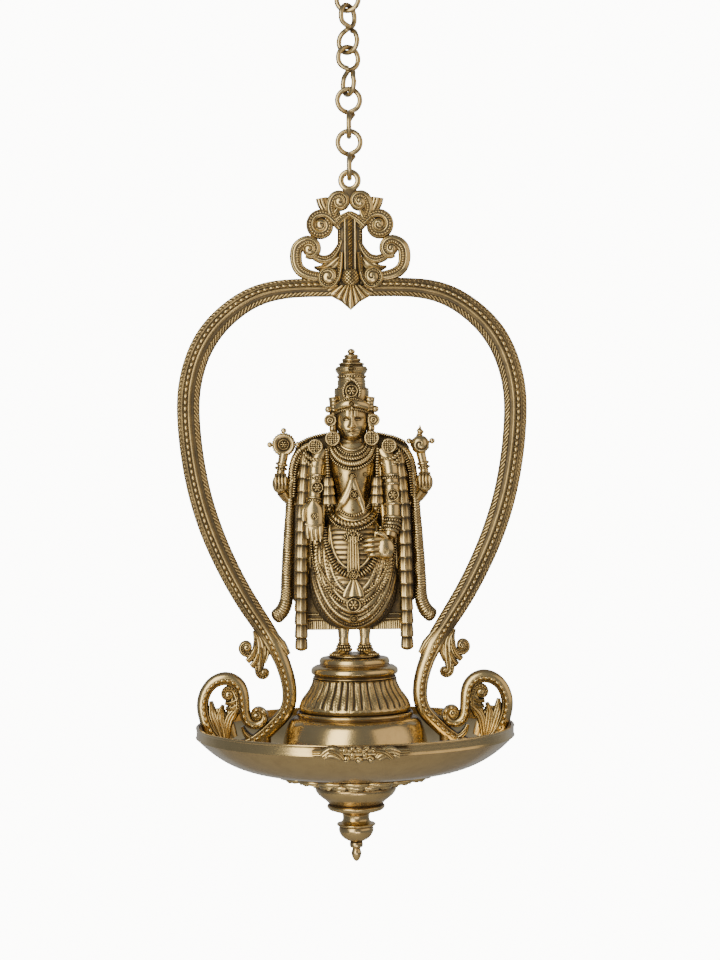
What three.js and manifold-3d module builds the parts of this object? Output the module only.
// A hanging brass oil lamp: a chain of twisted wire links carries an openwork crest, two scrolled
// arms run from the crest down into an oil pan, and a figure stands on a turned pedestal in the pan.
// Millimetres, +Z up. The front faces -Y. The origin is the seat inside the ceiling hook.
import * as THREE from 'three';
import { mergeVertices } from 'three/addons/utils/BufferGeometryUtils.js';
import Module from 'manifold-3d';

const wasm = await Module();
wasm.setup();

// Driving dimensions.
const SEAT = 0.3;              // running and seating gap between neighbouring pieces
const WIRE_D = 3.5;            // chain wire
const LOOP_R = 7.9;            // centre-line radius of a link's loop
const LOOP_PITCH = 17.4;       // distance between the two loop centres of one link
const LINK_TURNS = [           // plane of each link's lower and upper loop, degrees about Z, top link first
  { lower: -16, upper: 74 },
  { lower: -36, upper: 54 },
  { lower: -61, upper: 29 },
  { lower: 90, upper: 0 },
  { lower: 90, upper: 0 },
];
const HOOK_WIRE_D = 4.5;
const HOOK_EYE_R = 7.6;        // centre-line radius of the closed eye
const HOOK_BEND_R = 9.5;       // centre-line radius of the open bend
const HOOK_SHANK = 11;         // straight shank between the bend and the eye

const PAN_R = 111.5;           // oil pan, outside
const PAN_LIP = 7;             // height of the upright lip
const PAN_DEPTH = 32;          // rim to underside
const PAN_FLAT_R = 45;         // flat middle of the underside
const PAN_WALL = 2.6;
const PAN_CURVE = 2.9;         // exponent of the pan's side curve

const ARCH_RISE = 306;         // rim of the pan to the arms' line at the crest
const ARM_W = 16;              // widest band of the arm
const ARM_TOP_W = 13.5;
const STEM_W = 11;             // plain lower stem
const SCROLL_W = 7;            // band where the scroll closes
const ARM_T = 8.4;             // arm thickness, front to back
const ARM_LAP = 14;            // length of the half-lap tongue behind the crest
const ARM_START = 23.5;        // where the full arm section begins, from the axis
const LUG_X = 64;              // arm screws, from the axis
const LUG_R = 5;
const SCREW_R = 2;
const SCREW_HEAD_R = 4.6;
const SCREW_HEAD_H = 2.6;
const RIVET_R = 1.8;

const CREST_T = 8;             // crest plate, front to back
const EYE_RISE = 75;           // arms' line to the centre of the hanging eye
const EYE_R = 7.6;
const EYE_HOLE_R = 3.9;
const EYE_T = 2.8;             // eye thickness, thin enough for the link to turn in it
const EYE_SEAT = 0.7;          // the eye's hole stands clear of the link's inside curve

const ROD_R = 3;               // central tie rod
const DOME_R = 51.5;           // pedestal dome at the pan's floor
const DOME_TOP_R = 38;
const DOME_TOP_Z = 8;          // above the pan's rim
const SKIRT_R = 39.2;          // widest part of the fluted skirt
const SKIRT_TOP_R = 29.5;
const SKIRT_H = 24;
const FLUTES = 26;
const CAP_R = 30.1;            // turned cap's torus
const DECK_R = 25.2;           // top disc the figure stands on
const DECK_Z = 47;             // top of the pedestal above the pan's rim

const DOME_WALL = 3;
const LEG_X = 7.4;             // the figure's legs and dowels, from the axis
const DOWEL_R = 2.2;
const DOWEL_H = 3.4;
const MANTLE_Y = 4;            // mid plane of the mantle behind the figure
const MANTLE_T = 3;
const ROPE_X = 44.6;           // the mantle's side ropes
const COLUMN_X = 35.5;         // its hanging tassel columns
const COLUMN_TASSELS = 11;
const SYMBOL_X = 48;           // what the rear hands hold
const EARRING_X = 13.6;       // ear discs beside the figure's neck

const PETAL_R = 54.5;          // petal plate under the pan
const PETAL_COUNT = 12;
const PETAL_T = 3;
const COLLAR_R = 31.8;         // small rosette under the petal plate
const BELL_R = 28.6;           // finial bell
const BELL_H = 20;
const SPINDLE_H = 9.8;
const CUP_R = 12.3;            // ball cup
const CUP_H = 10.5;
const TIP_R = 3.7;
const TIP_H = 13.9;
const TIP_COLLAR_R = 4.7;
const TIP_COLLAR_H = 3.8;

const SPRAY_W = 50;            // rim ornament, along the rim
const SPRAY_H = 10.5;

// Colours and finishes of the brass.
const brass = (color, roughness) => new THREE.MeshStandardMaterial({ color, roughness, metalness: 1 });
const castBrass = () => brass(0x9c8356, 0.42);
const turnedBrass = () => brass(0xa88a55, 0.3);
const wireBrass = () => brass(0x8f7b52, 0.38);

const lamp = new THREE.Group();
const hanger = new THREE.Group();

// A closed solid from any closed three.js geometry: shared corners merged, empty faces dropped.
function solid(geometry) {
  const bare = new THREE.BufferGeometry();
  bare.setAttribute('position', geometry.getAttribute('position').clone());
  if (geometry.index) bare.setIndex(geometry.index.clone());
  const merged = mergeVertices(bare, 1e-4);
  const index = merged.index.array;
  const keep = [];
  for (let i = 0; i < index.length; i += 3) {
    const [a, b, c] = [index[i], index[i + 1], index[i + 2]];
    if (a !== b && b !== c && c !== a) keep.push(a, b, c);
  }
  const vertProperties = new Float32Array(merged.getAttribute('position').array);
  const made = new wasm.Manifold(new wasm.Mesh({ numProp: 3, vertProperties, triVerts: new Uint32Array(keep) }));
  if (made.volume() > 0) return made;
  const turned = keep.slice();
  for (let i = 0; i < turned.length; i += 3) [turned[i], turned[i + 1]] = [turned[i + 1], turned[i]];
  return new wasm.Manifold(new wasm.Mesh({ numProp: 3, vertProperties, triVerts: new Uint32Array(turned) }));
}

function geometryOf(manifold) {
  const mesh = manifold.getMesh();
  const geometry = new THREE.BufferGeometry();
  geometry.setAttribute('position', new THREE.BufferAttribute(new Float32Array(mesh.vertProperties), 3));
  geometry.setIndex(new THREE.BufferAttribute(new Uint32Array(mesh.triVerts), 1));
  geometry.computeVertexNormals();
  return geometry;
}

function addPiece(group, name, manifold, material) {
  const mesh = new THREE.Mesh(geometryOf(manifold), material);
  mesh.name = name;
  group.add(mesh);
  return mesh;
}

const joined = (solids) => solids.reduce((whole, next) => whole.add(next));

// A casting without the small closed hollows that overlapping forms leave between them.
const cast = (manifold) => joined(manifold.decompose().filter((shell) => shell.volume() > 0));

// A skin over equal rings of points, closed at both ends by fans.
function loft(rings) {
  const count = rings[0].length;
  const points = rings.flat();
  const faces = [];
  for (let r = 0; r + 1 < rings.length; r++) {
    for (let i = 0; i < count; i++) {
      const a = r * count + i;
      const b = r * count + (i + 1) % count;
      faces.push(a, b, b + count, a, b + count, a + count);
    }
  }
  const centre = (ring) => ring.reduce((sum, p) => sum.add(p), new THREE.Vector3()).divideScalar(count);
  const first = points.push(centre(rings[0])) - 1;
  const last = points.push(centre(rings.at(-1))) - 1;
  const top = (rings.length - 1) * count;
  for (let i = 0; i < count; i++) {
    faces.push(first, (i + 1) % count, i);
    faces.push(last, top + i, top + (i + 1) % count);
  }
  const geometry = new THREE.BufferGeometry().setFromPoints(points);
  geometry.setIndex(faces);
  return solid(geometry);
}

// A solid of revolution about Z from [radius, z] pairs that start and end on the axis or close.
function turnedSolid(profile, segments) {
  const outline = profile.map(([r, z]) => new THREE.Vector2(r, z));
  return solid(new THREE.LatheGeometry(outline, segments).rotateX(Math.PI / 2));
}

// A turned piece with a through bore for the tie rod: the profile runs down the outside.
function boredSolid(outside, bore, segments) {
  const bottom = outside.at(-1)[1];
  const top = outside[0][1];
  return turnedSolid([[bore, top], ...outside, [bore, bottom], [bore, top]], segments);
}

// A flat plate in the XZ plane, centred on y, from a closed outline and holes.
function plate(outline, thickness, y, holes = []) {
  const shape = new THREE.Shape(outline.map(([x, z]) => new THREE.Vector2(x, z)));
  shape.holes = holes.map((hole) => new THREE.Path(hole.map(([x, z]) => new THREE.Vector2(x, z))));
  const geometry = new THREE.ExtrudeGeometry(shape, { depth: thickness, bevelEnabled: false, curveSegments: 8 });
  return solid(geometry.rotateX(Math.PI / 2).translate(0, y + thickness / 2, 0));
}

// A round bar along Y or Z.
function bar(radius, length, centre, alongY, segments = 12) {
  const geometry = new THREE.CylinderGeometry(radius, radius, length, segments);
  if (!alongY) geometry.rotateX(Math.PI / 2);
  return solid(geometry.translate(...centre));
}

const ball = (radius, centre, stretch = [1, 1, 1]) =>
  solid(new THREE.SphereGeometry(radius, 6, 4).scale(...stretch).translate(...centre));

function smooth(points) {
  return new THREE.CatmullRomCurve3(points.map(([x, z]) => new THREE.Vector3(x, 0, z)), false, 'centripetal');
}

// Cast band sections as [across, front-to-back] shares: a raised bead ridge between two sloped
// leaf bands in front and flat behind, a plain scroll, a leaf with one midrib, and round wire.
const RIDGED = [[1, 0.7], [-1, 0.7], [-1, -0.3], [0, -1], [1, -0.3]];
const SCROLLED = [[1, 0.75], [-1, 0.75], [-0.6, -1], [0.6, -1]];
const LEAF = [[1, 0.6], [-1, 0.6], [0, -1]];
const ROUNDED = [18, 90, 162, 234, 306].map((a) => [Math.cos(rad(a)), Math.sin(rad(a))]);

function rad(degrees) {
  return degrees * Math.PI / 180;
}

// A band swept along a curve that lies in the XZ plane. width(t) and thick(t) are full sizes.
function band(curve, width, thick, section, steps, y = 0) {
  const rings = [];
  for (let i = 0; i <= steps; i++) {
    const t = i / steps;
    const p = curve.getPointAt(t);
    const along = curve.getTangentAt(t);
    const across = new THREE.Vector3(-along.z, 0, along.x);
    rings.push(section.map(([n, d]) => new THREE.Vector3(p.x, y, p.z)
      .addScaledVector(across, n * width(t) / 2)
      .add(new THREE.Vector3(0, d * thick(t) / 2, 0))));
  }
  return loft(rings);
}

// Points of a volute that winds in towards its eye from the last point of a lead.
function volute(lead, eye, turns, sense, close = 0.32) {
  const [x, z] = lead.at(-1);
  const start = Math.hypot(x - eye[0], z - eye[1]);
  const angle = Math.atan2(z - eye[1], x - eye[0]);
  const steps = Math.ceil(turns * 8);
  const points = lead.slice();
  for (let i = 1; i <= steps; i++) {
    const r = start * (1 - (1 - close) * i / steps);
    const a = angle + sense * rad(360) * turns * i / steps;
    points.push([eye[0] + r * Math.cos(a), eye[1] + r * Math.sin(a)]);
  }
  return smooth(points);
}

const taper = (list) => (t) => {
  const place = t * (list.length - 1);
  const i = Math.min(Math.floor(place), list.length - 2);
  return THREE.MathUtils.lerp(list[i], list[i + 1], place - i);
};

const mirrored = (manifold) => {
  const mesh = manifold.getMesh();
  const geometry = new THREE.BufferGeometry();
  geometry.setAttribute('position', new THREE.BufferAttribute(new Float32Array(mesh.vertProperties), 3));
  geometry.setIndex(new THREE.BufferAttribute(new Uint32Array(mesh.triVerts), 1));
  return solid(geometry.scale(-1, 1, 1));
};

// Ceiling hook: one rod, an open bend above and a closed eye below, in the plane of the top link's
// lower loop.
const hookBendZ = HOOK_WIRE_D / 2 - HOOK_BEND_R;
const hookEyeZ = hookBendZ - HOOK_BEND_R - HOOK_SHANK - HOOK_EYE_R;
function ceilingHook() {
  const points = [];
  for (let a = -35; a <= 200; a += 23.5) {
    points.push([HOOK_BEND_R * Math.cos(rad(a)), hookBendZ + HOOK_BEND_R * Math.sin(rad(a))]);
  }
  points.push([-HOOK_BEND_R * 0.3, hookBendZ - HOOK_BEND_R * 0.95]);
  points.push([0, hookBendZ - HOOK_BEND_R - HOOK_SHANK * 0.35]);
  points.push([0, hookEyeZ + HOOK_EYE_R + HOOK_WIRE_D * 0.7]);
  for (let a = 50; a >= -232; a -= 28.2) {
    points.push([HOOK_EYE_R * Math.cos(rad(a)), hookEyeZ + HOOK_EYE_R * Math.sin(rad(a))]);
  }
  const wire = () => HOOK_WIRE_D;
  return band(smooth(points), wire, wire, ROUNDED, 34);
}
addPiece(hanger, 'ceiling_hook', ceilingHook(), wireBrass()).rotation.z = rad(LINK_TURNS[0].lower);

// One chain link: a single wire that rounds the lower loop, crosses the waist and rounds the upper
// loop a quarter turn round. Its two ends bend aside near the waist and lie next to the crossing.
function linkWire({ lower, upper }) {
  const points = [];
  const joinAngle = 18;
  const endAngle = 19;
  const loopSteps = 10;
  const flat = (turn, reach) => new THREE.Vector3(reach * Math.cos(rad(turn)), reach * Math.sin(rad(turn)), 0);
  const loopPoint = (turn, otherTurn, angle, fromEnd, aside, z) => flat(turn, LOOP_R * Math.sin(rad(angle)))
    .add(flat(otherTurn, aside * (1 - THREE.MathUtils.smoothstep(fromEnd, 0, 50))))
    .setZ(z);
  for (let i = 0; i <= loopSteps; i++) {
    const fromEnd = (360 - joinAngle - endAngle) * i / loopSteps;
    const angle = endAngle + fromEnd;
    points.push(loopPoint(lower, upper, angle, fromEnd, WIRE_D + 0.1, LOOP_R * Math.cos(rad(angle))));
  }
  points.push(new THREE.Vector3(0, 0, LOOP_PITCH / 2));
  for (let i = 0; i <= loopSteps; i++) {
    const fromEnd = (360 - joinAngle - endAngle) * (1 - i / loopSteps);
    const angle = 360 - endAngle - fromEnd;
    const z = LOOP_PITCH - LOOP_R * Math.cos(rad(angle));
    points.push(loopPoint(upper, lower, angle, fromEnd, WIRE_D - 0.5, z));
  }
  const path = new THREE.CatmullRomCurve3(points, false, 'centripetal');
  const section = new THREE.Shape(new THREE.EllipseCurve(0, 0, WIRE_D / 2, WIRE_D / 2).getPoints(5).slice(0, 5));
  return solid(new THREE.ExtrudeGeometry(section, { steps: 26, extrudePath: path }));
}
const wireContact = WIRE_D + SEAT;
const hookContactZ = hookEyeZ - HOOK_EYE_R + (WIRE_D + HOOK_WIRE_D) / 2 + SEAT;
const linkBottoms = [];
let topWireZ = hookContactZ;
LINK_TURNS.forEach((turns, i) => {
  const lowerCentreZ = topWireZ - LOOP_R - LOOP_PITCH;
  addPiece(hanger, `chain_link_${i + 1}`, linkWire(turns), wireBrass()).position.z = lowerCentreZ;
  linkBottoms.push(lowerCentreZ - LOOP_R);
  topWireZ = lowerCentreZ - LOOP_R + wireContact;
});

// The lamp below hangs by the crest's eye on the last link. Its own zero is the pan's rim.
const eyeZ = ARCH_RISE + EYE_RISE;
const eyeSeatZ = eyeZ + EYE_HOLE_R;
lamp.position.z = linkBottoms.at(-1) + WIRE_D / 2 + EYE_SEAT - eyeSeatZ;

// Oil pan: an upright lip over a shallow side curve, with holes for the rod and the arm screws.
const panDepthAt = (r) => {
  const share = Math.max(0, (r - PAN_FLAT_R) / (PAN_R - PAN_FLAT_R));
  return PAN_LIP + (PAN_DEPTH - PAN_LIP) * (1 - share ** PAN_CURVE);
};
const wallShift = PAN_WALL * 0.6;
const floorZ = (r) => -panDepthAt(r + wallShift) + PAN_WALL;
function oilPan() {
  const radii = [PAN_R * 0.95, PAN_R * 0.81, LUG_X + LUG_R + wallShift];
  const outside = [[PAN_R, 0], [PAN_R, -PAN_LIP], ...radii.map((r) => [r, -panDepthAt(r)]),
    [PAN_FLAT_R, -PAN_DEPTH]];
  const inside = radii.map((r) => [r - wallShift, -panDepthAt(r) + PAN_WALL]).reverse();
  const lip = [[PAN_R - PAN_WALL, -PAN_LIP * 0.9], [PAN_R - PAN_WALL, 0]];
  let pan = turnedSolid([[0, -PAN_DEPTH + PAN_WALL], [DOME_R + SEAT, -PAN_DEPTH + PAN_WALL], ...inside,
    ...lip, ...outside, [0, -PAN_DEPTH]], 34);
  pan = pan.subtract(bar(ROD_R + SEAT, PAN_WALL * 4, [0, 0, -PAN_DEPTH], false));
  for (const side of [-1, 1]) {
    pan = pan.subtract(bar(SCREW_R + SEAT, PAN_WALL * 6, [side * LUG_X, 0, -panDepthAt(LUG_X)], false, 12));
  }
  return pan;
}
addPiece(lamp, 'oil_pan', oilPan(), turnedBrass());

// Arms: the line of the right arm from the crest round the arch, down the stem and round the
// scroll that stands in the pan. The left arm is its mirror image.
const ARM_ARCH = [[ARM_START, 1], [56, 0.992], [83.8, 0.948], [102.6, 0.879], [112.9, 0.788], [114.5, 0.696],
  [109.2, 0.559], [96.5, 0.422], [75.5, 0.285], [57.8, 0.193], [48.6, 0.124], [45.7, 0.074]];
const ARM_SCROLL = [[47.8, 10.5], [56, 0.5], [69, -10.4], [84.5, -15.4], [98.5, -7.5], [105.4, 12], [101, 28],
  [88, 33], [78.5, 25.5], [77, 12]];
const ARM_LINE = [...ARM_ARCH.map(([x, share]) => [x, share * ARCH_RISE]), ...ARM_SCROLL];
const ARM_WIDTHS = [ARM_TOP_W, 15, ARM_W, ARM_W, ARM_W, ARM_W, STEM_W, STEM_W, STEM_W, 9, 8, SCROLL_W];
const ARM_DEPTHS = [ARM_T, ARM_T, ARM_T, ARM_T, ARM_T, ARM_T, ARM_T, ARM_T, ARM_T, ARM_T, 7, 6];
// Leaf fronds of the scroll and of the spur above it, with their widths and depths along the line.
const ARM_FRONDS = [
  { line: [[82, 29], [84.5, 14], [88, 5], [96, -10]], wide: [4, 6.5, 6, 4], deep: [5, 6.5, 6, 4] },
  { line: [[100, -5], [98, 4], [100.5, 17]], wide: [4, 5.5, 2], deep: [4, 5, 3] },
  { line: [[71.5, 78], [70, 66], [68.5, 57], [66.5, 43]], wide: [4, 8, 8, 4], deep: [6, 7, 7, 4] },
  { line: [[72.5, 49.5], [70, 45], [67, 39.5]], wide: [5, 7, 5], deep: [6, 6.5, 5] },
  { line: [[51.5, 62], [46.9, 50], [47.4, 46.5]], wide: [4, 6, 2.5], deep: [6, 7, 3] },
];
// Curls that wind in to a round knob: the scroll's own end, its inner curl and the spur's two.
const ARM_CURLS = [
  { lead: [[78, 17], [76.6, 8], [72, 4.2]], eye: [69.5, 10], turns: 0.75, sense: 1, wide: [SCROLL_W, 5.5, 3.4],
    knob: 2.7 },
  { lead: [[83, 14], [85, 19.5]], eye: [87.6, 21.6], turns: 0.7, sense: -1, wide: [5, 4.5, 3], knob: 2.9 },
  { lead: [[69, 60], [73, 58], [78, 53.5]], eye: [74.4, 52.4], turns: 0.8, sense: -1, wide: [6, 5.5, 4],
    knob: 3.2 },
  { lead: [[69, 42], [67.6, 36], [64, 33.6]], eye: [64.2, 37], turns: 0.6, sense: -1, wide: [5.5, 4.5, 3.5],
    knob: 2.5 },
];
const lugFloorZ = floorZ(LUG_X + LUG_R);
const tongueT = ARM_T * 0.35;
function arm() {
  const parts = [band(smooth(ARM_LINE), taper(ARM_WIDTHS), taper(ARM_DEPTHS), RIDGED, 32)];
  for (const { line, wide, deep } of ARM_FRONDS) {
    parts.push(band(smooth(line), taper(wide), taper(deep), LEAF, 3));
  }
  for (const { lead, eye, turns, sense, wide, knob } of ARM_CURLS) {
    parts.push(band(volute(lead, eye, turns, sense), taper(wide), taper([6, 6, 4]), SCROLLED, 4));
    parts.push(ball(knob, [eye[0], -0.5, eye[1]]));
  }
  const lugTop = -6;
  const lugBottom = lugFloorZ + SEAT;
  parts.push(bar(LUG_R, lugTop - lugBottom, [LUG_X, 0, (lugTop + lugBottom) / 2], false, 10));
  parts.push(plate(box2(ARM_START - ARM_LAP, ARM_START + 2, ARM_TOP_W / 2), tongueT - SEAT, (tongueT + SEAT) / 2));
  return cast(joined(parts))
    .subtract(bar(SCREW_R + SEAT, 16, [LUG_X, 0, lugFloorZ], false, 8))
    .subtract(bar(RIVET_R + SEAT, ARM_T * 2, [rivetX, 0, ARCH_RISE], true, 8));
}

// A rectangle about the arms' line at the crest, between two distances from the axis.
function box2(near, far, halfHeight) {
  return [[near, ARCH_RISE - halfHeight], [far, ARCH_RISE - halfHeight], [far, ARCH_RISE + halfHeight],
    [near, ARCH_RISE + halfHeight]];
}
const rivetX = ARM_START - ARM_LAP / 2;
const rightArm = arm();
addPiece(lamp, 'right_arm', rightArm, castBrass());
addPiece(lamp, 'left_arm', mirrored(rightArm), castBrass());

// Crest: a fluted column between pairs of volutes, over a fan leaf, with the hanging eye on top.
const lift = (points) => points.map(([x, rise]) => [x, ARCH_RISE + rise]);
const CREST_SCROLLS = [
  { lead: [[0.5, 49.3], [11.6, 54.5], [12.4, 60.5], [9.6, 65]], eye: [5, 61.6], turns: 0.9, sense: 1,
    wide: [4.6, 5.6, 4.6, 3], boss: 2.4 },
  { lead: [[5, 42.5], [10.5, 47.5], [16, 51.3], [22, 51.8], [26, 48.8]], eye: [20.6, 41.5], turns: 0.9,
    sense: -1, wide: [5, 6.4, 6.4, 4], boss: 3.6 },
  { lead: [[13, 11.2], [24, 10.4], [33, 11.2], [39.4, 16], [41.4, 23.5]], eye: [32.4, 27.4], turns: 0.85,
    sense: 1, wide: [7, 7, 6.6, 4.2], boss: 3.4 },
  { lead: [[6.5, 32], [10.5, 24.6], [16.5, 20.8], [22.5, 20.6], [27.5, 22.6]], eye: [31.6, 27], turns: 0.05,
    sense: 1, wide: [4, 5.4, 5], boss: 1.6 },
  { lead: [[5, 44], [5.6, 30], [6.8, 18], [9.6, 8.5]], eye: [16.4, 8], turns: 0.95, sense: 1,
    wide: [4, 4.6, 5, 3.4], boss: 3.4 },
];
const CREST_EAR = [[14, 54], [16, 60], [19.5, 62.5], [23.8, 61.8], [22.4, 56.5], [21, 52]];
const CREST_SHOULDER = [[10, -3], [10, 15], [20, 15], [23, 7], [23, 1 - ARM_TOP_W / 2], [14, -9]];
const COLUMN_HALF = [[8.6, 46], [7.4, 30], [5.4, 16], [4.4, 8]];

function circle(radius, points) {
  return Array.from({ length: points }, (_, i) => {
    const a = rad(360 * i / points);
    return [radius * Math.cos(a), eyeZ + radius * Math.sin(a)];
  });
}

// A scalloped fan leaf that hangs below the column and comes to a point.
function fanLeaf() {
  return Array.from({ length: 9 }, (_, i) => {
    const a = rad(180 + 22.5 * i);
    const reach = i === 4 ? 1.1 : i % 2 ? 1 : 0.93;
    return [17 * Math.cos(a) * reach, ARCH_RISE + 1.5 + 15.5 * Math.sin(a) * reach];
  });
}

function crest() {
  const half = CREST_SCROLLS.flatMap(({ lead, eye, turns, sense, wide, boss }) => {
    const [centre] = lift([eye]);
    const line = volute(lift(lead), centre, turns, sense);
    return [band(line, taper(wide), taper([CREST_T, CREST_T, CREST_T * 0.7]), SCROLLED, 6),
      ball(boss, [centre[0], -CREST_T * 0.12, centre[1]], [1, 1.3, 1])];
  });
  half.push(plate(lift(CREST_EAR), CREST_T * 0.6, 0));
  half.push(plate(lift(CREST_SHOULDER), CREST_T / 2, -CREST_T / 4));
  const right = joined(half);
  const column = [...COLUMN_HALF, ...COLUMN_HALF.map(([x, z]) => [-x, z]).reverse()];
  const neck = [[-5.4, 63], [5.4, 63], [5.6, EYE_RISE - 4], [-5.6, EYE_RISE - 4]];
  let whole = joined([right, mirrored(right), plate(lift(column), CREST_T * 0.7, 0),
    plate(fanLeaf(), CREST_T * 0.75, -CREST_T * 0.125), plate(circle(EYE_R, 14), EYE_T, 0),
    plate(lift(neck), EYE_T, 0)]);
  for (const x of [-5, 0, 5]) {
    const rib = smooth(lift([[x, 50], [x * 0.9, 30], [x * 0.45, 13]]));
    whole = whole.add(band(rib, taper([3.6, 3]), taper([4, 3]), LEAF, 2, -CREST_T * 0.3));
  }
  whole = whole.add(ball(5.8, [0, -CREST_T * 0.25, ARCH_RISE + 4], [1, 0.5, 0.95]));
  whole = whole.subtract(plate(circle(EYE_HOLE_R, 14), EYE_T * 3, 0));
  const room = ARM_TOP_W / 2 + SEAT;
  const behind = plate(box2(ARM_START - ARM_LAP - SEAT, ARM_START + 40, room), CREST_T, CREST_T / 2);
  const beside = plate(box2(ARM_START - SEAT, ARM_START + 60, room + 0.4), CREST_T * 3, 0);
  for (const cut of [behind, beside]) whole = whole.subtract(cut).subtract(mirrored(cut));
  for (const side of [-1, 1]) {
    whole = whole.subtract(bar(RIVET_R + SEAT, CREST_T * 0.6, [side * rivetX, 0, ARCH_RISE], true, 8));
  }
  return cast(whole);
}
addPiece(lamp, 'crest', crest(), castBrass());

// Rivets through the arm tongues into the crest, driven from behind.
for (const [name, side] of [['left_rivet', -1], ['right_rivet', 1]]) {
  const back = tongueT + SEAT;
  const headT = 1.4;
  const front = -CREST_T * 0.25;
  const reach = back + headT / 2;
  const shank = bar(RIVET_R, reach - front, [side * rivetX, (reach + front) / 2, ARCH_RISE], true, 8);
  const head = bar(RIVET_R * 1.7, headT, [side * rivetX, reach, ARCH_RISE], true, 10);
  addPiece(lamp, name, shank.add(head), castBrass());
}

// Arm screws from below the pan, each with a cup washer, into the arm's lug.
for (const [name, side] of [['left', -1], ['right', 1]]) {
  const x = side * LUG_X;
  const under = -panDepthAt(LUG_X - LUG_R) - SEAT;
  const washerT = 1.2;
  const washer = bar(SCREW_HEAD_R + 1, washerT, [x, 0, under - washerT / 2], false, 14)
    .subtract(bar(SCREW_R + SEAT, washerT * 3, [x, 0, under], false, 8));
  addPiece(lamp, `${name}_arm_washer`, washer, turnedBrass());
  const headTop = under - washerT - SEAT;
  const shankTop = lugFloorZ + 7.2;
  const dome = ball(SCREW_HEAD_R, [x, 0, headTop], [1, 1, SCREW_HEAD_H / SCREW_HEAD_R])
    .subtract(bar(SCREW_HEAD_R * 2, 8, [x, 0, headTop + 4], false, 8));
  const shank = bar(SCREW_R, shankTop - headTop + 1, [x, 0, (shankTop + headTop - 1) / 2], false, 8);
  const slot = bar(0.9, SCREW_HEAD_R * 3, [x, 0, headTop - SCREW_HEAD_H], true, 4);
  addPiece(lamp, `${name}_arm_screw`, shank.add(dome).subtract(slot), turnedBrass());
}

// Pedestal: dome, fluted skirt and turned cap, stacked on the rod.
const bore = ROD_R + SEAT;
const domeFloorZ = floorZ(0) + SEAT;
const domeOutside = [[DOME_TOP_R, DOME_TOP_Z], [44, DOME_TOP_Z - 2.6], [48, DOME_TOP_Z - 8],
  [DOME_R, domeFloorZ + 12], [DOME_R, domeFloorZ]];
const domeInside = domeOutside.slice(1).map(([r, z]) => [r - DOME_WALL, z]);
const domeCore = turnedSolid([[0, DOME_TOP_Z - DOME_WALL], [DOME_TOP_R, DOME_TOP_Z - DOME_WALL - 0.6],
  ...domeInside, [DOME_R - DOME_WALL, domeFloorZ - 5], [0, domeFloorZ - 5]], 20);
const dome = turnedSolid([[0, DOME_TOP_Z], ...domeOutside, [0, domeFloorZ]], 26)
  .subtract(domeCore).subtract(bar(bore, DOME_WALL * 6, [0, 0, DOME_TOP_Z], false));
addPiece(lamp, 'pedestal_dome', dome, turnedBrass());

const skirtZ = DOME_TOP_Z + SEAT;
function flutedSkirt() {
  const stations = [[0, 0.93], [0.25, 1], [0.6, 0.88], [1, SKIRT_TOP_R / SKIRT_R]];
  const rings = stations.map(([rise, share], row) => {
    const ring = [];
    for (let i = 0; i < FLUTES * 2; i++) {
      const a = rad(180 * i / FLUTES);
      const cut = i % 2 && row < stations.length - 1 ? 1.3 : 0;
      const r = SKIRT_R * share - cut;
      ring.push(new THREE.Vector3(r * Math.cos(a), r * Math.sin(a), skirtZ + rise * SKIRT_H));
    }
    return ring;
  });
  return loft(rings).subtract(bar(bore, SKIRT_H * 3, [0, 0, skirtZ], false));
}
addPiece(lamp, 'fluted_skirt', flutedSkirt(), castBrass());

const capZ = skirtZ + SKIRT_H + SEAT;
const rodTopZ = DECK_Z - 4;
let cap = turnedSolid([[0, DECK_Z], [DECK_R, DECK_Z], [DECK_R, DECK_Z - 2.6], [28, DECK_Z - 3.2],
  [28, DECK_Z - 5.4], [CAP_R, DECK_Z - 7], [CAP_R, DECK_Z - 10.6], [SKIRT_TOP_R, capZ], [0, capZ]], 26)
  .subtract(bar(bore, 2 * (rodTopZ + SEAT - capZ), [0, 0, capZ], false));
for (const side of [-1, 1]) {
  cap = cap.subtract(bar(DOWEL_R + SEAT, 2 * (DOWEL_H + SEAT), [side * LEG_X, 0, DECK_Z], false, 8));
}
addPiece(lamp, 'pedestal_cap', cap, turnedBrass());

// Under the pan: petal plate, small rosette, bell, spindle, ball cup and the tip nut.
function rosette(radius, petals, thickness, topZ, dip) {
  const rings = [[0.16, 0], [0.6, -dip * 0.35]].map(([share, drop]) => [share, topZ + drop]);
  const outline = (share, z) => {
    const ring = [];
    for (let i = 0; i < petals * 2; i++) {
      const a = rad(180 * i / petals);
      const lobe = share > 0.6 && i % 2 ? 0.92 : 1;
      ring.push(new THREE.Vector3(radius * share * lobe * Math.cos(a), radius * share * lobe * Math.sin(a), z));
    }
    return ring;
  };
  const top = rings.map(([share, z]) => outline(share, z));
  const edge = [outline(1, topZ - dip * 1.1), outline(1, topZ - dip - thickness * 0.5)];
  const under = [[0.6, topZ - dip * 0.35 - thickness * 1.1], [0.16, topZ - thickness * 1.4]]
    .map(([share, z]) => outline(share, z));
  return loft([...top, ...edge, ...under]).subtract(bar(bore, 40, [0, 0, topZ], false));
}
const petalZ = -PAN_DEPTH - SEAT;
const petalDip = 3.2;
addPiece(lamp, 'petal_plate', rosette(PETAL_R, PETAL_COUNT, PETAL_T, petalZ, petalDip), castBrass());
const collarZ = petalZ - PETAL_T * 1.4 - SEAT;
const collar = rosette(COLLAR_R, PETAL_COUNT - 2, PETAL_T, collarZ, petalDip * 0.8);
addPiece(lamp, 'rosette_collar', collar, castBrass());

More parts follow.
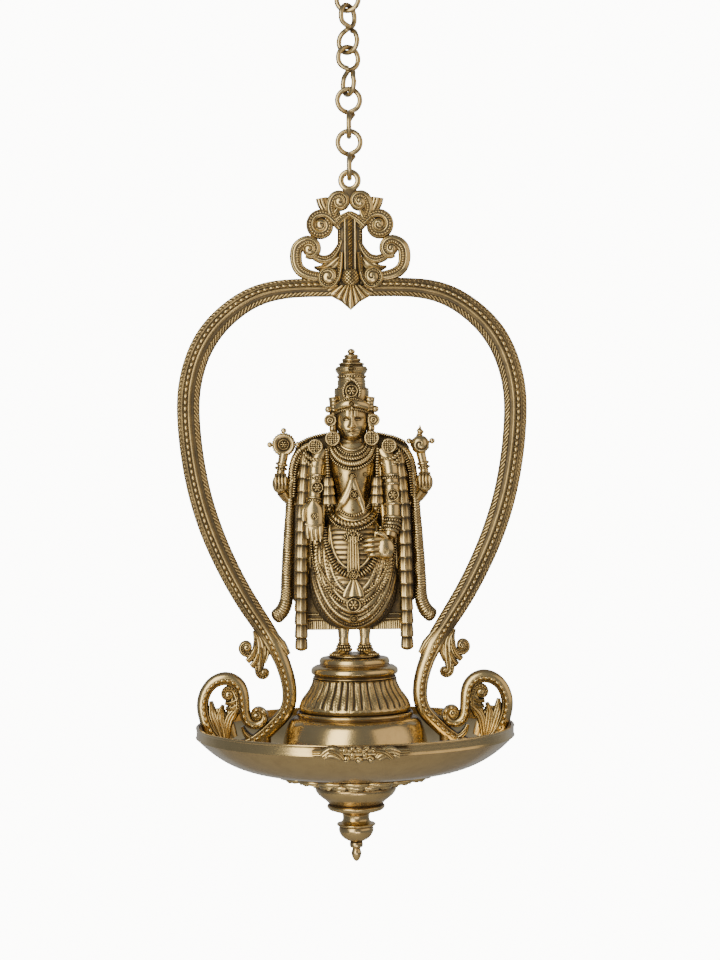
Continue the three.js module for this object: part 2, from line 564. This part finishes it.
const bellZ = collarZ - PETAL_T * 1.4 - SEAT;
const bell = boredSolid([[10, bellZ], [BELL_R, bellZ - 3.4], [BELL_R, bellZ - 6], [BELL_R * 0.9, bellZ - 9],
  [19.3, bellZ - BELL_H + 5], [20.3, bellZ - BELL_H + 3], [19.6, bellZ - BELL_H + 0.8],
  [15, bellZ - BELL_H]], bore, 22);
addPiece(lamp, 'finial_bell', bell, turnedBrass());
const spindleZ = bellZ - BELL_H - SEAT;
const spindle = boredSolid([[10.2, spindleZ], [9.3, spindleZ - SPINDLE_H * 0.3],
  [9.6, spindleZ - SPINDLE_H * 0.62], [CUP_R, spindleZ - SPINDLE_H * 0.86],
  [CUP_R * 1.06, spindleZ - SPINDLE_H]], bore, 18);
addPiece(lamp, 'finial_spindle', spindle, turnedBrass());
const cupZ = spindleZ - SPINDLE_H - SEAT;
const cup = boredSolid([[CUP_R, cupZ], [CUP_R * 0.99, cupZ - 3], [CUP_R * 0.9, cupZ - 6],
  [CUP_R * 0.66, cupZ - 9.2], [CUP_R * 0.4, cupZ - CUP_H]], bore, 18);
addPiece(lamp, 'finial_cup', cup, turnedBrass());
const tipZ = cupZ - CUP_H - SEAT;
const rodBottomZ = tipZ - TIP_COLLAR_H + 0.5;
const tip = turnedSolid([[0, tipZ], [TIP_COLLAR_R, tipZ], [TIP_COLLAR_R, tipZ - TIP_COLLAR_H],
  [2.4, tipZ - TIP_COLLAR_H - 0.7], [TIP_R, tipZ - 7.4], [TIP_R * 0.8, tipZ - 9.8], [0, tipZ - TIP_H]], 16)
  .subtract(bar(bore, 2 * (tipZ - rodBottomZ + SEAT), [0, 0, tipZ], false));
addPiece(lamp, 'finial_tip_nut', tip, turnedBrass());
const rod = bar(ROD_R, rodTopZ - rodBottomZ - SEAT, [0, 0, (rodTopZ + rodBottomZ + SEAT) / 2], false, 16);
addPiece(lamp, 'tie_rod', rod, wireBrass());

// The figure: one casting that stands on two dowels in the deck. Heights are above its soles.
const soleZ = DECK_Z + SEAT;
const at = (x, y, height) => new THREE.Vector3(x, y, soleZ + height);

// A limb or cord: round sections of the given radii along a smooth line through points.
function limb(points, radii, steps, sides = 6, depth = 1) {
  const line = new THREE.CatmullRomCurve3(points, false, 'centripetal');
  const radius = taper(radii);
  const rings = [];
  for (let i = 0; i <= steps; i++) {
    const t = i / steps;
    const along = line.getTangentAt(t);
    const side = new THREE.Vector3(0, 1, 0).cross(along).normalize();
    const up = along.clone().cross(side);
    const centre = line.getPointAt(t);
    rings.push(Array.from({ length: sides }, (_, k) => centre.clone()
      .addScaledVector(side, radius(t) * Math.cos(rad(360 * k / sides)))
      .addScaledVector(up, depth * radius(t) * Math.sin(rad(360 * k / sides)))));
  }
  return loft(rings);
}

// Cross-sections of the body as [height, half width, front, back], hem to neck.
const BODY = [[20, 12, 9, 3], [25, 20, 12, 4], [37, 27.5, 15, 5], [53, 31, 16, 5], [71, 28.5, 15.5, 5],
  [87, 22, 14, 5], [99, 16.5, 12.5, 5], [111, 12.3, 11, 5], [123, 14, 12.5, 5], [137, 15.5, 12.5, 5],
  [146, 19, 9, 5], [151, 8, 6.5, 5], [156, 7.2, 6, 5]];
const HEAD = [[151.5, 3.5, 8.5, 2], [154.5, 7.5, 11, 4], [160, 10.3, 12, 6], [166.5, 11.5, 12.2, 7],
  [175, 11.2, 11.6, 7]];
const CROWN = [[169, 13], [174, 13.5], [176, 11.4], [184.4, 12.2], [187, 10.2], [198, 9.6], [199, 11.1],
  [202, 11.1], [203.2, 8.6], [205.4, 8.6], [206.4, 6.4], [208.3, 6.4], [209.2, 4.8], [211, 4.8], [213.6, 2.4]];

function stack(stations, sides) {
  return loft(stations.map(([height, half, front, back]) => Array.from({ length: sides }, (_, k) => {
    const a = rad(360 * k / sides);
    const deep = Math.sin(a) < 0 ? front : back;
    return at(half * Math.cos(a), deep * Math.sin(a), height);
  })));
}

// Front surface of the body at a height and offset, for what lies on it.
function bodyFront(x, height) {
  const next = Math.max(1, BODY.findIndex(([h]) => h >= height));
  const [low, high] = [BODY[next - 1], BODY[next]];
  const share = (height - low[0]) / (high[0] - low[0]);
  const half = THREE.MathUtils.lerp(low[1], high[1], share);
  const front = THREE.MathUtils.lerp(low[2], high[2], share);
  return -front * Math.sqrt(Math.max(0.05, 1 - (x / half) ** 2));
}

function mirroredPair(make) {
  return make(-1).add(make(1));
}

function figure() {
  const parts = [stack(BODY, 9), stack(HEAD, 8), stack(CROWN.map(([h, r]) => [h, r, r, r]), 9)];
  parts.push(ball(2.4, at(0, 0, 214.2).toArray()));
  parts.push(limb([at(0, -11, 166), at(0, -13.4, 161.4), at(0, -12, 159.8)], [0.8, 1.9, 1.2], 3, 5));
  parts.push(ball(4.6, at(0, -11, 185.5).toArray(), [1, 0.6, 1.5]));
  const mantleHalf = [[9, 157], [22, 154], [35, 149.5], [41, 140], [ROPE_X - 1, 100], [47, 44], [37.5, 34],
    [37, 18.5]];
  const mantle = [...mantleHalf, ...mantleHalf.map(([x, h]) => [-x, h]).reverse()].map(([x, h]) => [x, soleZ + h]);
  parts.push(plate(mantle, MANTLE_T, MANTLE_Y));
  const backing = [[-26, 30], [26, 30], [26, 60], [23, 146], [-23, 146], [-26, 60]]
    .map(([x, h]) => [x, soleZ + h]);
  parts.push(plate(backing, MANTLE_T * 2, MANTLE_Y - MANTLE_T * 2));
  const disc = (x, height, radius, y, depth) => bar(radius, depth, at(x, y, height).toArray(), true, 8);
  parts.push(mirroredPair((side) => joined([
    limb([[28, 149], [39, 141], [43.4, 122], [ROPE_X, 90], [47.8, 46], [52, 33]]
      .map(([x, height]) => at(side * x, MANTLE_Y, height)), [2.6, 2.8, 2.8, 2.8, 3, 6], 6, 5),
    ball(6.4, at(side * 51.6, MANTLE_Y, 31.5).toArray(), [1, 0.6, 0.8]),
    disc(side * 14.9, 165.5, 4.2, -2, 6),
    ball(2.3, at(side * 16.6, -4, 173).toArray()),
    disc(side * EARRING_X, 152.7, 5.2, -5, 8),
    disc(side * 25.6, 147.5, 5.2, -5, 6),
    plate([[11, 171], [14.8, 173], [15, 180.5], [11, 180.5]].map(([x, h]) => [side * x, soleZ + h]), 6, 0),
    limb([[17.8, -6, 145], [17.2, -9, 132], [17.4, -8.6, 106]].map(([x, y, h]) => at(side * x, y, h)),
      [1.5, 1.5, 1.8, 2.6, 3.6], 4, 5, 1.6),
    limb([[22, 3, 142], [38, 5, 128], [51, 4, 123.5], [49.6, 2, 132], [48.4, 1, 143]]
      .map(([x, y, h]) => at(side * x, y, h)), [4.4, 3.8, 3.6, 3.2, 4.4], 6, 5),
    limb([at(side * LEG_X, -1, 24), at(side * LEG_X, -1, 9)], [4.5, 4], 1),
    limb([at(side * LEG_X, -1, 9), at(side * LEG_X, -1, 3)], [5.6, 5.9], 1),
    ball(3, at(side * (LEG_X + 0.8), -6, 2.9).toArray(), [1.45, 2.7, 0.95]),
    bar(DOWEL_R, DOWEL_H + 3, at(side * LEG_X, 0, (3 - DOWEL_H) / 2).toArray(), false, 8),
  ])));
  parts.push(mirroredPair((side) => {
    const line = [[31.8, -5, 143], [33.6, -7, 125], [COLUMN_X, -7, 90], [COLUMN_X + 1, -5, 50],
      [COLUMN_X + 1.4, -2, 6.5]].map(([x, y, h]) => at(side * x, y, h));
    const sizes = Array.from({ length: COLUMN_TASSELS * 2 + 1 }, (_, k) => (k % 2 ? 4.7 : 3.7));
    return limb(line, sizes, COLUMN_TASSELS * 2, 4, 0.85);
  }));
  parts.push(limb([at(-21, -2, 143), at(-27.4, -3, 126), at(-28, -6, 112), at(-27.8, -12, 104)], [5.4, 4.8, 4.4, 3.4], 4));
  parts.push(ball(6, at(-27.6, -13.5, 94.5).toArray(), [1.1, 0.55, 2.1]));
  parts.push(limb([at(21, -2, 143), at(27, -3, 126), at(28.4, -5, 104), at(25, -13, 84)], [5.4, 5, 4.6, 3.6], 4));
  parts.push(ball(7, at(17.5, -15.5, 78).toArray(), [1.4, 0.6, 1.1]));
  parts.push(disc(-SYMBOL_X, 149, 8, 1, 3.4));
  for (let i = 0; i < 3; i++) {
    const a = rad(90 * i);
    parts.push(ball(2, at(-SYMBOL_X + 9 * Math.cos(a), 1, 149 + 9 * Math.sin(a)).toArray()));
  }
  parts.push(ball(6.4, at(SYMBOL_X, 1, 148.5).toArray(), [0.95, 0.7, 1.15]));
  parts.push(limb([at(SYMBOL_X, 1, 153), at(SYMBOL_X + 1, 1, 161.5)], [2.6, 1.2], 1));
  parts.push(mirroredPair((side) => ball(2.2, at(SYMBOL_X + side * 7, 1, 150.5).toArray())));
  const swag = (halfWidth, top, bottom, thick) => {
    const points = [];
    for (let a = 195; a <= 345; a += 30) {
      const x = halfWidth * Math.cos(rad(a));
      const height = top + (top - bottom) * Math.sin(rad(a));
      points.push(at(x, bodyFront(x, height), height));
    }
    return limb(points, [thick, thick], 5, 4);
  };
  parts.push(swag(27, 84, 30, 2.2), swag(20, 92, 51, 2.6), swag(15, 108, 92, 1.9), swag(15, 147, 136, 3));
  parts.push(limb([at(0, -12.6, 92), at(0, -16.6, 74), at(0, -17, 52)], [4.2, 2.6, 3], 2, 5));
  return cast(joined(parts));
}
addPiece(lamp, 'deity_figure', figure(), castBrass());

// Rim ornament: a low foliate spray brazed to the front of the lip, bent to its curve.
function rimSpray() {
  const half = SPRAY_W / 2;
  const lobes = [[-1, -0.32], [-0.8, -0.75], [-0.52, -0.45], [-0.3, -0.95], [-0.1, -0.8], [0.1, -1],
    [0.32, -0.85], [0.5, -0.5], [0.78, -0.72], [1, -0.3]];
  const rings = lobes.map(([share, drop], i) => {
    const a = rad(-90) + share * half / PAN_R;
    const low = drop * SPRAY_H;
    const high = (i === 0 || i === lobes.length - 1) ? -1 : 1.2 - 0.8 * Math.abs(share);
    const thick = 3.4 - 1.6 * Math.abs(share);
    const spot = (r, z) => new THREE.Vector3(r * Math.cos(a), r * Math.sin(a), z);
    const face = PAN_R + SEAT + 0.4;
    return [spot(face, high), spot(face, low), spot(face + thick * 0.7, low * 0.9), spot(face + thick, (low + high) / 2),
      spot(face + thick * 0.6, high)];
  });
  return loft(rings);
}
addPiece(lamp, 'rim_spray', rimSpray(), castBrass());

hanger.add(lamp);
export default hanger;
